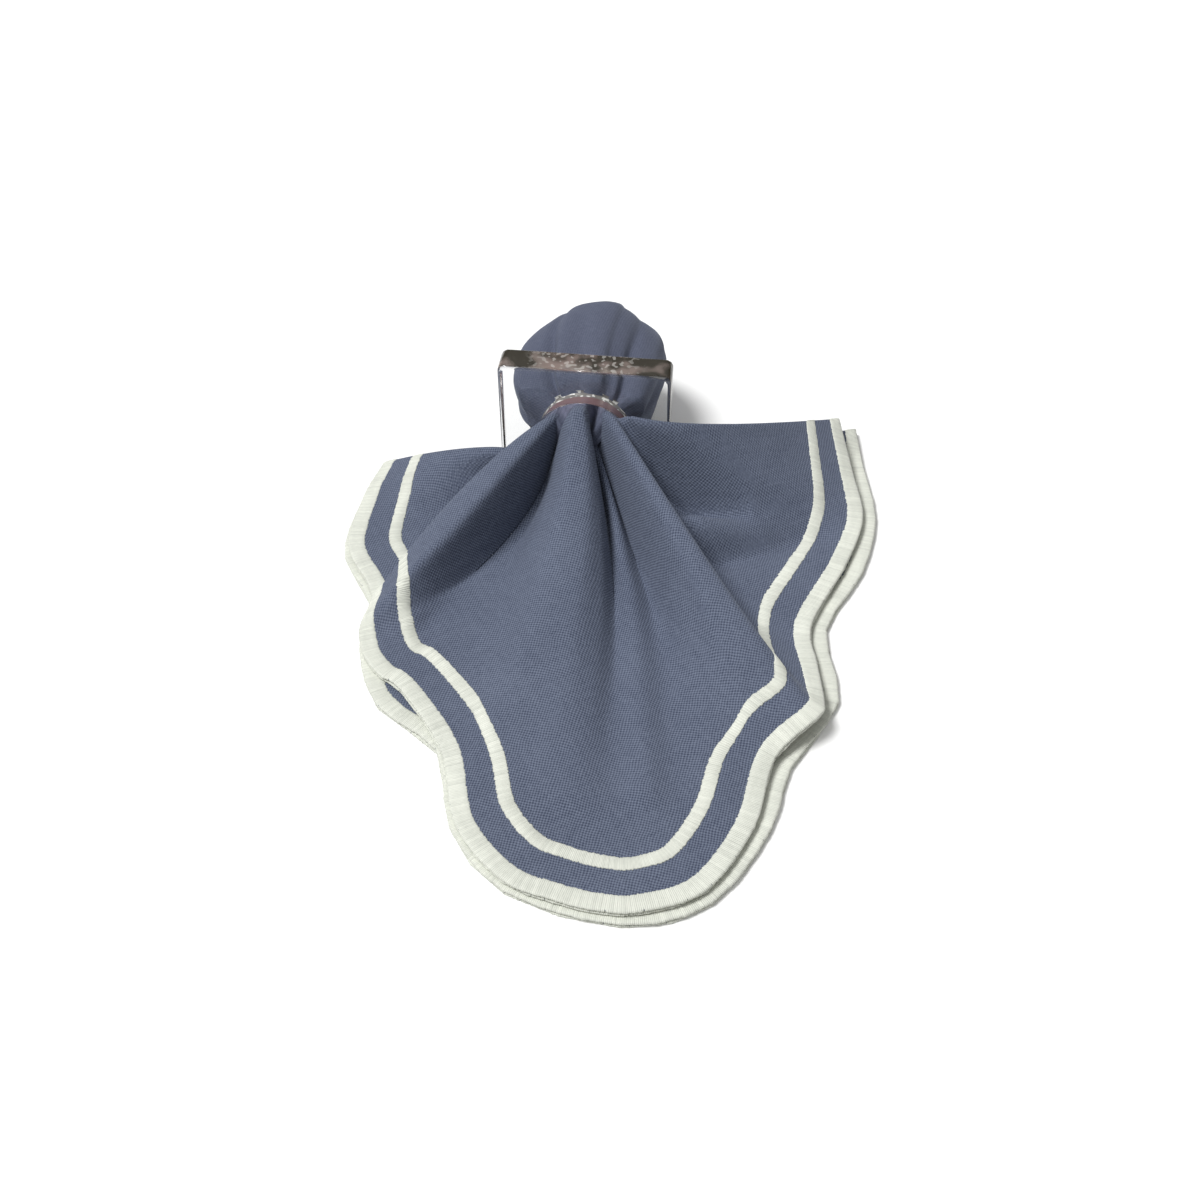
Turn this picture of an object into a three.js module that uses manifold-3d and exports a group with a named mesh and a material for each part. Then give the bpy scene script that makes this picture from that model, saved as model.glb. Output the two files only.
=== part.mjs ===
// Cloth napkin folded in quarters and drawn through a clear square ring.
// Millimetres, +Z up. The ring stands on its foot in the middle, the fan opens toward -Y,
// the gathered bulb lies behind the ring toward +Y.
import * as THREE from 'three';
import Module from 'manifold-3d';

// Clear ring
const ringWidth = 56;
const ringThick = 11;
const holeRadius = 16.5;
const holeHeight = 28;
const ringCorner = 2.4;
const ringRound = 1.1;

// Napkin
const clothThick = 1.0;
const layerGap = 0.3;
const holeClearance = 0.4;
const fanStartY = -5.9;
const lipY = -9.6;
const seamTolerance = 0.05; // takes out the hairline faces where the fan and the gather meet
const stations = [0, 0.07, 0.15, 0.25, 0.36, 0.48, 0.61, 0.75, 0.88, 1];

// One row a fold line of the upper pair of layers, from the left folded edge to the right one.
// The line starts inside the ring's mouth, leaves over the lip in front of the ring, bends by way
// of a point in plan and ends at the hem.
const columns = ['name', 'mouthX', 'mouthZ', 'lipX', 'lipZ', 'bendX', 'bendY', 'midZ', 'hemX', 'hemY', 'hemZ'];
const upperFolds = [
  ['left fold', -12.6, 24.2, -17.6, 23.6, -47, -10, 18, -74, 1, 4.8],
  ['left wing', -12.9, 26.0, -17.2, 26.0, -48, -14, 14, -77, -18, 4.4],
  ['wing crest', -12.8, 28.4, -16.6, 28.2, -50, -18, 9, -76, -45, 4.0],
  ['wing valley', -12.1, 30.4, -15.6, 30.2, -51, -26, 6.8, -65, -61, 4.4],
  ['ridge a', -9.7, 38.0, -11.4, 38.0, -41, -32, 22, -58, -69, 8.5],
  ['a face', -8.0, 37.0, -9.4, 37.0, -30, -33, 15, -62, -86, 4.8],
  ['valley ab', -6.0, 35.2, -7.2, 35.2, -23, -26, 7, -47, -106, 4.0],
  ['b left', -4.2, 38.8, -5.0, 38.8, -14, -41, 13, -29, -125, 3.8],
  ['ridge b', -2.2, 41.2, -2.6, 42.2, 2, -54, 17, -18, -156, 3.8],
  ['b crown', -0.4, 41.4, -0.5, 42.4, 12, -54, 15, -2, -173, 3.8],
  ['b right', 0.8, 39.5, 1.0, 40.0, 19, -50, 10, 16, -179, 3.8],
  ['valley bm', 2.3, 36.4, 2.7, 36.4, 24, -50, 5.8, 27, -180, 3.8],
  ['ridge m', 3.1, 36.2, 3.8, 36.2, 29, -54, 6.0, 37, -179, 3.8],
  ['valley mc', 3.9, 36.4, 4.8, 36.4, 34, -58, 5.6, 54, -170, 3.8],
  ['c face', 5.8, 38.4, 7.7, 38.4, 47, -72, 11, 66, -147, 3.8],
  ['ridge c low', 6.9, 39.6, 8.9, 39.9, 54, -80, 18.4, 71, -119, 4.6],
  ['ridge c', 8.1, 40.0, 10.4, 40.8, 55, -76, 20.4, 83, -105, 8.5],
  ['valley cd', 10.1, 37.8, 12.9, 38.8, 58, -54, 9, 83, -83, 5.5],
  ['d low', 10.5, 37.7, 13.3, 38.8, 58, -49, 8.4, 81, -64, 4.2],
  ['valley d', 10.9, 37.5, 13.6, 39.0, 52, -44, 8.8, 92, -34, 4.0],
  ['d ridge', 11.2, 37.3, 14.2, 39.5, 46, -36, 12.8, 98, -9, 4.6],
  ['d high', 11.6, 37.0, 15.1, 40.5, 43, -26, 24.5, 94, 14, 7.0],
  ['right fold', 11.9, 36.7, 16.0, 41.6, 40, -18, 34.5, 89, 40, 10.0],
];
// The same for the lower pair, which lies flatter and reaches a little further out.
const lowerFolds = [
  ['left fold', -12.2, 20.9, -17.0, 19.4, -47, -10, 12.4, -74, 1, 1.6],
  ['left wing', -12.0, 20.9, -16.4, 19.4, -49, -15, 6.6, -79, -24, 1.2],
  ['wing crest', -11.7, 20.9, -15.6, 19.4, -52, -20, 3.9, -77, -47, 1.2],
  ['wing notch', -11.0, 21.0, -14.4, 19.8, -50, -29, 3.2, -64, -67, 1.2],
  ['under a', -10.0, 21.5, -12.0, 21.0, -41, -36, 3.2, -62, -89, 1.2],
  ['left border', -8.0, 23.0, -9.6, 22.6, -30, -36, 2.8, -51, -112, 1.2],
  ['left trough', -5.6, 24.5, -6.8, 24.2, -18, -45, 2.4, -29, -128, 1.2],
  ['left lobe', -3.4, 26.0, -4.0, 25.8, 1, -49, 2.2, -20, -155, 1.2],
  ['lobe corner', -1.0, 26.8, -1.2, 26.6, 14, -53, 2.0, -1, -175, 1.2],
  ['lobe tip', 1.6, 27.2, 2.0, 27.2, 24, -55, 1.8, 32, -182, 1.2],
  ['right corner', 4.2, 27.6, 5.0, 27.6, 33, -57, 1.8, 56, -172, 1.2],
  ['right lobe', 6.2, 28.0, 7.4, 28.0, 42, -64, 2.0, 71, -145, 1.2],
  ['right trough', 7.8, 28.2, 9.4, 28.2, 50, -63, 2.2, 76, -122, 1.2],
  ['under c', 9.2, 28.4, 11.2, 28.4, 56, -60, 2.6, 90, -94, 1.2],
  ['right notch', 10.6, 28.6, 12.8, 28.6, 60, -51, 2.8, 86, -63, 1.2],
  ['d low', 11.6, 29.0, 14.2, 29.2, 54, -47, 3.4, 98, -34, 1.2],
  ['d slope', 12.4, 29.6, 15.4, 30.2, 46, -38, 7.6, 103, -5, 1.4],
  ['d high', 13.0, 30.2, 16.4, 31.6, 42, -28, 16.8, 99, 23, 1.8],
  ['right fold', 13.4, 30.8, 17.2, 33.0, 39, -20, 26.5, 96, 44, 2.8],
];

// Gathered bulb behind the ring, one row a ring of cloth along +Y
const bulbRings = [
  { y: 5.6, radius: 15.6, x: 0, z: 28 },
  { y: 9, radius: 17.4, x: 0, z: 28.2 },
  { y: 15, radius: 20.6, x: -0.6, z: 28.0 },
  { y: 23, radius: 23.8, x: -1.0, z: 27.4 },
  { y: 33, radius: 25.6, x: -0.8, z: 27.0 },
  { y: 43, radius: 25.4, x: 0, z: 26.4 },
  { y: 52, radius: 23.0, x: 1.2, z: 25.6 },
  { y: 59.5, radius: 18.6, x: 2.4, z: 24.8 },
  { y: 65, radius: 12.8, x: 3.2, z: 24.2 },
  { y: 68.2, radius: 6.8, x: 3.6, z: 24 },
];
const bulbTip = { y: 69.5, x: 3.8, z: 23.8 };
// Creases that run back from the ring over the bulb: angle round the hole, depth, width, reach along +Y
const bulbCreases = [
  { angle: 62, depth: 2.6, width: 9, reach: 66 },
  { angle: 104, depth: 1.4, width: 13, reach: 30 },
  { angle: 146, depth: 4.2, width: 13, reach: 30 },
  { angle: 176, depth: 3.2, width: 12, reach: 38 },
  { angle: 22, depth: 3.6, width: 11, reach: 30 },
  { angle: -8, depth: 3.0, width: 12, reach: 36 },
  { angle: -48, depth: 3.4, width: 15, reach: 44 },
  { angle: -92, depth: 2.6, width: 14, reach: 40 },
  { angle: -136, depth: 3.2, width: 14, reach: 46 },
];

function column(table, name) {
  const place = columns.indexOf(name);
  return table.map((row) => row[place]);
}

// Smooth curve through evenly numbered values; monotone keeps it from overshooting
function smoothValue(values, at, monotone) {
  const last = values.length - 1;
  const i = Math.min(Math.floor(at), last - 1);
  const t = at - i;
  const slope = (k) => {
    if (k === 0) return values[1] - values[0];
    if (k === last) return values[last] - values[last - 1];
    const before = values[k] - values[k - 1];
    const after = values[k + 1] - values[k];
    if (!monotone) return (before + after) / 2;
    return before * after > 0 ? (2 * before * after) / (before + after) : 0;
  };
  const t2 = t * t;
  const t3 = t2 * t;
  return (2 * t3 - 3 * t2 + 1) * values[i] + (t3 - 2 * t2 + t) * slope(i)
    + (3 * t2 - 2 * t3) * values[i + 1] + (t3 - t2) * slope(i + 1);
}

// Falls from 1 to 0 along a fold line and passes through the given share half way
function fallShare(t, half) {
  const power = Math.log(half) / Math.log(0.5);
  return power >= 1 ? (1 - t) ** power : 1 - t ** (Math.log(1 - half) / Math.log(0.5));
}

// Surface of one pair of layers; across counts the fold lines, along runs from -1 (start) by 0 (lip) to 1 (hem)
function pleatedSurface(table) {
  const lists = {};
  for (const name of columns.slice(1)) lists[name] = column(table, name);
  const bent = ['bendX', 'bendY', 'hemX', 'hemY'];
  return (across, along) => {
    const v = {};
    for (const name of columns.slice(1)) v[name] = smoothValue(lists[name], across, !bent.includes(name));
    if (along < 0) {
      return new THREE.Vector3(
        v.lipX + (v.mouthX - v.lipX) * -along,
        lipY + (fanStartY - lipY) * -along,
        v.lipZ + (v.mouthZ - v.lipZ) * -along,
      );
    }
    const t = along;
    const half = Math.min(Math.max((v.midZ - v.hemZ) / (v.lipZ - v.hemZ), 0.01), 0.99);
    return new THREE.Vector3(
      (1 - t) ** 2 * v.lipX + 2 * t * (1 - t) * v.bendX + t * t * v.hemX,
      (1 - t) ** 2 * lipY + 2 * t * (1 - t) * v.bendY + t * t * v.hemY,
      v.hemZ + (v.lipZ - v.hemZ) * fallShare(t, half),
    );
  };
}

// Position with the upward normal and the direction across
function framed(surface, across, along, last) {
  const step = 0.02;
  const a0 = Math.max(across - step, 0);
  const a1 = Math.min(across + step, last);
  const low = Math.max(along - step, -1);
  const high = Math.min(along + step, 1);
  const side = surface(a1, along).sub(surface(a0, along)).normalize();
  const out = surface(across, high).sub(surface(across, low)).normalize();
  const up = new THREE.Vector3().crossVectors(out, side).normalize();
  return { point: surface(across, along), side, up };
}

const upper = pleatedSurface(upperFolds);
const lower = pleatedSurface(lowerFolds);
const upperLast = upperFolds.length - 1;
const lowerLast = lowerFolds.length - 1;

// Even steps across a table
function steps(last, count) {
  return Array.from({ length: count + 1 }, (_, i) => (i / count) * last);
}
const upperSteps = steps(upperLast, upperLast * 2);
const lowerSteps = steps(lowerLast, 27);

function shifted(frame, up, side) {
  return frame.point.clone().addScaledVector(frame.up, up).addScaledVector(frame.side, side);
}

const foldTurns = [60, 20, -20, -60];

// Closed back-and-forth line through the four layers at one station.
// face is +1 for the outer side of the closed line and -1 for the inner side.
function layerLoop(along, face) {
  const points = [];
  const centre = (clothThick + layerGap) / 2;
  const reach = centre + (face * clothThick) / 2;
  for (const a of upperSteps) points.push(shifted(framed(upper, a, along, upperLast), reach, 0));
  const rightTop = framed(upper, upperLast, along, upperLast);
  for (const turn of foldTurns) {
    const r = THREE.MathUtils.degToRad(turn);
    points.push(shifted(rightTop, reach * Math.sin(r), reach * Math.cos(r)));
  }
  for (const a of [...upperSteps].reverse()) points.push(shifted(framed(upper, a, along, upperLast), -reach, 0));
  // inner wrap on the left, between the second and the third layer
  const topLeft = framed(upper, 0, along, upperLast);
  const lowLeft = framed(lower, 0, along, lowerLast);
  const between = topLeft.point.clone().add(lowLeft.point).multiplyScalar(0.5);
  const rise = topLeft.point.clone().sub(lowLeft.point).multiplyScalar(0.5);
  const half = rise.length();
  rise.normalize();
  const wrapPoint = (turn, radius) => {
    const r = THREE.MathUtils.degToRad(turn);
    return between.clone().addScaledVector(rise, radius * Math.sin(r))
      .addScaledVector(topLeft.side, -radius * Math.cos(r));
  };
  for (const turn of foldTurns) points.push(wrapPoint(turn, half - reach));
  for (const a of lowerSteps) points.push(shifted(framed(lower, a, along, lowerLast), reach, 0));
  const rightLow = framed(lower, lowerLast, along, lowerLast);
  for (const turn of foldTurns) {
    const r = THREE.MathUtils.degToRad(turn);
    points.push(shifted(rightLow, reach * Math.sin(r), reach * Math.cos(r)));
  }
  for (const a of [...lowerSteps].reverse()) points.push(shifted(framed(lower, a, along, lowerLast), -reach, 0));
  for (const turn of [...foldTurns].reverse()) points.push(wrapPoint(turn, half + reach));
  return points;
}

function solidFrom(wasm, points, triangles) {
  const positions = new Float32Array(points.length * 3);
  points.forEach((p, i) => positions.set([p.x, p.y, p.z], i * 3));
  const build = (list) => new wasm.Manifold(new wasm.Mesh({
    numProp: 3, vertProperties: positions, triVerts: new Uint32Array(list.flat()),
  }));
  const solid = build(triangles);
  return solid.volume() > 0 ? solid : build(triangles.map(([a, b, c]) => [a, c, b]));
}

// True on the parts of the loop that run from right to left
function runsBack(i) {
  const upperCount = upperSteps.length + foldTurns.length;
  const lowerStart = 2 * upperCount;
  const lowerCount = lowerSteps.length + foldTurns.length;
  return (i >= upperCount && i < lowerStart) || i >= lowerStart + lowerCount;
}

function fanSolid(wasm) {
  const alongs = [-1, ...stations];
  const outer = alongs.map((s) => layerLoop(s, 1));
  const inner = alongs.map((s) => layerLoop(s, -1));
  const n = outer[0].length;
  const points = [...outer.flat(), ...inner.flat()];
  const innerStart = n * alongs.length;
  const triangles = [];
  for (let s = 0; s < alongs.length - 1; s += 1) {
    for (let i = 0; i < n; i += 1) {
      const j = (i + 1) % n;
      const quad = [s * n + i, s * n + j, (s + 1) * n + j, (s + 1) * n + i];
      // layers that run back are split along the other diagonal, so that all layers bend alike
      const [a, b, c, d] = runsBack(i) ? [quad[1], quad[2], quad[3], quad[0]] : quad;
      triangles.push([a, b, c], [a, c, d]);
      triangles.push([innerStart + a, innerStart + c, innerStart + b], [innerStart + a, innerStart + d, innerStart + c]);
    }
  }
  const hem = (alongs.length - 1) * n;
  for (let i = 0; i < n; i += 1) {
    const j = (i + 1) % n;
    triangles.push([j, i, innerStart + i], [j, innerStart + i, innerStart + j]);
    triangles.push([hem + i, hem + j, innerStart + hem + j], [hem + i, innerStart + hem + j, innerStart + hem + i]);
  }
  return solidFrom(wasm, points, triangles);
}

// Distance from the hole's axis to the outline of the pleated stack in one direction
function stackReach(outline, angle) {
  const dx = Math.cos(angle);
  const dz = Math.sin(angle);
  let far = 0;
  for (let i = 0; i < outline.length; i += 1) {
    const p = outline[i];
    const q = outline[(i + 1) % outline.length];
    const [px, pz, qx, qz] = [p.x, p.z - holeHeight, q.x, q.z - holeHeight];
    const cross = dx * (qz - pz) - dz * (qx - px);
    if (Math.abs(cross) < 1e-9) continue;
    const along = (px * (qz - pz) - pz * (qx - px)) / cross;
    const share = (px * dz - pz * dx) / cross;
    if (along > far && share >= -0.001 && share <= 1.001) far = along;
  }
  return far;
}

function gatherSolid(wasm) {
  const count = 54;
  const outline = layerLoop(-1, 1);
  const angles = Array.from({ length: count }, (_, i) => (i / count) * 2 * Math.PI);
  const stack = angles.map((angle) => stackReach(outline, angle));
  const limit = holeRadius - holeClearance;
  const throat = (share, extra) => angles.map((angle, i) => {
    const pleated = Math.max(stack[i] + extra, 4);
    return Math.min(pleated * (1 - share) + limit * share, limit);
  });
  const crease = (angle, y) => {
    let cut = 0;
    for (const c of bulbCreases) {
      let turn = Math.abs(THREE.MathUtils.radToDeg(angle) - c.angle) % 360;
      if (turn > 180) turn = 360 - turn;
      const fade = Math.max(0, 1 - (y - 5) / c.reach);
      cut += c.depth * fade * Math.exp(-((turn / c.width) ** 2));
    }
    return cut;
  };
  const sections = [
    { y: -12.5, x: 0, z: 25.5, radii: throat(0, 0).map((r) => r * 0.42) },
    { y: -9.8, x: 0, z: 27, radii: throat(0, -1.2).map((r) => r * 0.8) },
    { y: -7.4, x: 0, z: 28, radii: throat(0, -0.5) },
    { y: -6.3, x: 0, z: 28, radii: throat(0, 0.2) },
    { y: -5, x: 0, z: 28, radii: throat(0, 0.2) },
    { y: -3, x: 0, z: 28, radii: throat(0.1, 0.25) },
    { y: 1.5, x: 0, z: 28, radii: throat(0.45, 0.25) },
  ];
  for (const ring of bulbRings) {
    const radii = angles.map((angle) => ring.radius - crease(angle, ring.y) * Math.min(1, ring.radius / 18));
    sections.push({ y: ring.y, x: ring.x, z: ring.z, radii: ring.y < 6 ? radii.map((r) => Math.min(r, limit)) : radii });
  }
  const points = [];
  for (const s of sections) {
    angles.forEach((angle, i) => {
      const z = s.z + s.radii[i] * Math.sin(angle);
      points.push(new THREE.Vector3(s.x + s.radii[i] * Math.cos(angle), s.y, Math.max(z, 0)));
    });
  }
  const front = points.length;
  points.push(new THREE.Vector3(0, -13.4, 25.5));
  const back = points.length;
  points.push(new THREE.Vector3(bulbTip.x, bulbTip.y, bulbTip.z));
  const triangles = [];
  const lastRing = (sections.length - 1) * count;
  for (let i = 0; i < count; i += 1) {
    const j = (i + 1) % count;
    triangles.push([front, j, i], [back, lastRing + i, lastRing + j]);
    for (let s = 0; s < sections.length - 1; s += 1) {
      const [a, b, c, d] = [s * count + i, s * count + j, (s + 1) * count + j, (s + 1) * count + i];
      triangles.push([a, b, c], [a, c, d]);
    }
  }
  return solidFrom(wasm, points, triangles);
}

function geometryOf(solid) {
  const mesh = solid.getMesh();
  const geometry = new THREE.BufferGeometry();
  const width = mesh.numProp;
  const flat = new Float32Array((mesh.vertProperties.length / width) * 3);
  for (let i = 0; i < flat.length / 3; i += 1) {
    for (let k = 0; k < 3; k += 1) flat[i * 3 + k] = mesh.vertProperties[i * width + k];
  }
  geometry.setAttribute('position', new THREE.BufferAttribute(flat, 3));
  geometry.setIndex(Array.from(mesh.triVerts));
  geometry.computeVertexNormals();
  return geometry;
}

function ringGeometry() {
  const half = ringWidth / 2;
  const c = ringCorner;
  const shape = new THREE.Shape();
  shape.moveTo(-half + c, -half);
  shape.lineTo(half - c, -half);
  shape.absarc(half - c, -half + c, c, -Math.PI / 2, 0, false);
  shape.lineTo(half, half - c);
  shape.absarc(half - c, half - c, c, 0, Math.PI / 2, false);
  shape.lineTo(-half + c, half);
  shape.absarc(-half + c, half - c, c, Math.PI / 2, Math.PI, false);
  shape.lineTo(-half, -half + c);
  shape.absarc(-half + c, -half + c, c, Math.PI, 1.5 * Math.PI, false);
  const hole = new THREE.Path();
  hole.absarc(0, 0, holeRadius, 0, 2 * Math.PI, true);
  shape.holes.push(hole);
  const geometry = new THREE.ExtrudeGeometry(shape, {
    depth: ringThick - 2 * ringRound, bevelEnabled: true, bevelThickness: ringRound,
    bevelSize: ringRound, bevelOffset: -ringRound, bevelSegments: 2, curveSegments: 10,
  });
  geometry.translate(0, 0, -(ringThick - 2 * ringRound) / 2);
  geometry.rotateX(Math.PI / 2);
  geometry.translate(0, 0, holeHeight);
  return geometry;
}

const wasm = await Module();
wasm.setup();

const group = new THREE.Group();
group.name = 'cloth_napkin_in_ring';

const napkin = new THREE.Mesh(
  geometryOf(fanSolid(wasm).add(gatherSolid(wasm)).asOriginal().simplify(seamTolerance)),
  new THREE.MeshStandardMaterial({ color: 0x6b7488, roughness: 0.95, metalness: 0 }),
);
napkin.name = 'napkin';
group.add(napkin);

const ring = new THREE.Mesh(
  ringGeometry(),
  new THREE.MeshStandardMaterial({ color: 0xeef0ee, roughness: 0.05, metalness: 0, transparent: true, opacity: 0.35 }),
);
ring.name = 'ring';
group.add(ring);

export default group;
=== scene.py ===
# Cloth napkin with a scalloped satin border, folded in quarters and drawn through a clear square ring.
# Lengths in the tables are millimetres in the frame of the CAD: the ring's foot centre is the origin,
# +Z is up, the fan of cloth opens toward -Y and the gathered bulb lies toward +Y.
import math

import bpy
import numpy as np
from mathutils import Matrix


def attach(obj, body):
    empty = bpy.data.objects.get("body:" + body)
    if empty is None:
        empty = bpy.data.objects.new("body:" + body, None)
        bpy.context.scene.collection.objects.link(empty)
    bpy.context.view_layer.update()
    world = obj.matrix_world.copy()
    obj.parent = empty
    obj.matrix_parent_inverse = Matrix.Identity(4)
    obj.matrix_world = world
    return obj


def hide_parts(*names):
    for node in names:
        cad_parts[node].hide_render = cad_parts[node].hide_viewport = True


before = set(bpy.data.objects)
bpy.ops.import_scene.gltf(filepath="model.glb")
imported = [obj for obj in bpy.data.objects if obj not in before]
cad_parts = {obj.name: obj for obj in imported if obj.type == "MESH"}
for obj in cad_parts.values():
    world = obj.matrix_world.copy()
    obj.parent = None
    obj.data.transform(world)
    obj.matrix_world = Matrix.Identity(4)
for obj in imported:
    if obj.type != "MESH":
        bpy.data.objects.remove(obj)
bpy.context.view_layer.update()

scene = bpy.context.scene

# Napkin cloth
# The real piece is one hemmed square of plain-woven cotton, folded in quarters to four layers and
# spread in front of the ring. Its fold lines repeat the ones of the CAD solid, with sharper pleats.
# One row a fold line, from the left folded edge to the right one: inside the ring's mouth, over the
# lip in front of the ring, a bend in plan with the height half way, and the place at the hem.
fold_columns = ["name", "mouth_x", "mouth_z", "lip_x", "lip_z", "bend_x", "bend_y", "mid_z"]
fold_columns += ["hem_x", "hem_y", "hem_z"]
upper_folds = [
    ["left fold", -12.6, 24.2, -17.6, 23.6, -47, -10, 18, -74, 1, 4.8],
    ["left wing", -12.9, 26.0, -17.2, 26.0, -48, -14, 14, -77, -18, 4.4],
    ["wing crest", -12.8, 27.4, -16.6, 27.2, -50, -18, 9, -76.5, -43, 4.0],
    ["wing valley", -12.3, 28.4, -15.8, 28.2, -47, -27, 5.2, -66.5, -59.5, 3.6],
    ["a behind", -11.4, 35.0, -13.8, 35.0, -43, -34, 12, -63.4, -65.5, 3.4],
    ["ridge a", -10.4, 37.6, -12.2, 37.8, -41, -38, 24.6, -62.4, -70.5, 3.2],
    ["a crown", -9.4, 37.2, -11.0, 37.6, -30, -46, 26, -63.2, -79.5, 3.2],
    ["a face", -8.6, 31.0, -9.9, 30.4, -25.5, -46, 15.5, -62.2, -86.5, 3.2],
    ["valley ab", -7.6, 25.4, -9.2, 24.4, -20.5, -43, 6.2, -59, -94, 3.4],
    ["b low", -6.8, 28.4, -8.1, 27.6, -15.5, -44.5, 7.6, -52.5, -101.5, 3.6],
    ["b foot", -6.0, 32.4, -7.2, 31.8, -12, -44, 10, -44, -107.5, 3.8],
    ["b left", -4.2, 38.6, -5.0, 38.8, -7, -47, 14.5, -27, -130, 3.8],
    ["ridge b", -2.2, 41.2, -2.6, 42.2, 2, -54, 18, -18, -156, 3.8],
    ["b crown", -0.4, 41.4, -0.5, 42.4, 12, -54, 17, -2, -173, 3.8],
    ["b right", 0.8, 39.5, 1.0, 40.0, 18, -50, 13, 13, -178, 3.8],
    ["valley bm", 2.1, 27.0, 2.5, 25.0, 23, -50, 6.2, 25, -180, 3.8],
    ["ridge m", 3.0, 31.4, 3.7, 30.6, 28, -54, 7.8, 37, -179, 3.8],
    ["valley mc", 4.2, 25.0, 5.2, 23.0, 35, -58, 5.2, 54, -170, 3.8],
    ["c face", 6.0, 37.4, 7.9, 37.4, 47, -72, 14, 66, -147, 3.8],
    ["ridge c low", 7.1, 39.6, 9.1, 39.9, 54, -80, 20.4, 71, -122, 5.2],
    ["ridge c", 8.1, 40.0, 10.4, 40.8, 55, -76, 22.5, 82.8, -109, 9.8],
    ["c behind", 9.4, 37.6, 12.0, 37.4, 57, -68, 9, 84.8, -101, 7.4],
    ["valley cd", 10.1, 35.8, 12.9, 35.8, 58, -55, 5.2, 83, -83, 4.6],
    ["d low", 10.5, 36.7, 13.3, 37.2, 58, -49, 6.2, 81, -64, 4.2],
    ["valley d", 10.9, 36.9, 13.6, 38.2, 52, -44, 9.0, 92, -34, 4.0],
    ["d ridge", 11.2, 37.3, 14.2, 39.5, 46, -36, 13.8, 98, -9, 4.6],
    ["d high", 11.6, 37.0, 15.1, 40.5, 43, -26, 25.5, 94, 14, 7.0],
    ["right fold", 11.9, 36.7, 16.0, 41.6, 40, -18, 34.5, 89, 40, 10.0],
]
# Creases that cross the fold lines: a curved line in plan by three points, how far it lifts the cloth
# and how wide it is at its start and end, and the fold lines between which it acts.
# Columns: name, x0, y0, x1, y1, x2, y2, lift0, lift1, width0, width1, low, high.
upper_creases = [
    ["first tongue", 16, -20, 35, -21, 60, -19, -24, -1, 7, 5.5, "c behind", "right fold"],
    ["bump", 28, -32, 43, -33.5, 62, -26, 7, 2, 4.5, 6, "c behind", "right fold"],
    ["second tongue", 38, -45, 52, -38, 82, -20, -4, -3, 4.5, 6, "c behind", "right fold"],
    ["nose", -36, -54, -44, -65, -50, -76, 0, 5, 5, 7, "ridge a", "b low"],
    ["wing dip", -22, -12, -38, -16, -54, -26, -10, -1, 6, 8, "left fold", "a behind"],
    ["soft flank", -10, -20, -17, -40, -22, -66, -3, -1, 3, 7, "valley ab", "ridge b"],
    ["left of first line", 6, -60, 11, -95, 15, -140, 0, 2, 7, 9, "b left", "valley mc"],
    ["between lines", 22, -56, 28, -85, 35, -140, 0.5, 2, 3.5, 5, "b right", "c face"],
    ["right of second line", 35, -70, 46, -100, 57, -140, 1, 2, 5, 8, "ridge m", "ridge c"],
]
# The same for the lower pair of layers, which lies flatter and reaches a little further out.
lower_folds = [
    ["left fold", -12.2, 20.9, -17.0, 19.4, -47, -10, 12.4, -74, 1, 1.6],
    ["left wing", -12.0, 20.9, -16.4, 19.4, -49, -15, 6.6, -79, -24, 1.2],
    ["wing crest", -11.7, 20.9, -15.6, 19.4, -52, -20, 3.9, -77, -47, 1.2],
    ["wing notch", -11.0, 21.0, -14.4, 19.8, -50, -29, 3.2, -64, -67, 1.2],
    ["under a", -10.0, 21.5, -12.0, 21.0, -41, -36, 3.2, -62, -89, 1.2],
    ["left border", -8.0, 23.0, -9.6, 22.6, -30, -36, 2.8, -51, -112, 1.2],
    ["left trough", -5.6, 24.5, -6.8, 24.2, -18, -45, 2.4, -29, -128, 1.2],
    ["left lobe", -3.4, 26.0, -4.0, 25.8, 1, -49, 2.2, -20, -155, 1.2],
    ["lobe corner", -1.0, 26.8, -1.2, 26.6, 14, -53, 2.0, -1, -175, 1.2],
    ["lobe tip", 1.6, 27.2, 2.0, 27.2, 24, -55, 1.8, 32, -182, 1.2],
    ["right corner", 4.2, 27.6, 5.0, 27.6, 33, -57, 1.8, 56, -172, 1.2],
    ["right lobe", 6.2, 28.0, 7.4, 28.0, 42, -64, 2, 71, -145, 1.2],
    ["right trough", 7.8, 28.2, 9.4, 28.2, 50, -63, 2.2, 76, -122, 1.2],
    ["under c", 9.2, 28.4, 11.2, 28.4, 56, -60, 2.6, 90, -94, 1.2],
    ["right notch", 10.6, 28.6, 12.8, 28.6, 60, -51, 2.8, 86, -63, 1.2],
    ["d low", 11.6, 29.0, 14.2, 29.2, 54, -47, 3.4, 98, -34, 1.2],
    ["d slope", 12.4, 28.0, 15.4, 27.2, 46, -38, 4.4, 103, -5, 1.4],
    ["d high", 13.0, 29.0, 16.4, 29.6, 42, -28, 9.8, 99, 23, 1.8],
    ["right fold", 13.4, 30.8, 17.2, 33.0, 39, -20, 26.5, 96, 44, 2.8],
]
fan_start_y = -5.9
lip_y = -9.6
layer_offset = 0.65
cloth_thick = 0.5
millimetre = 0.001


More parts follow.
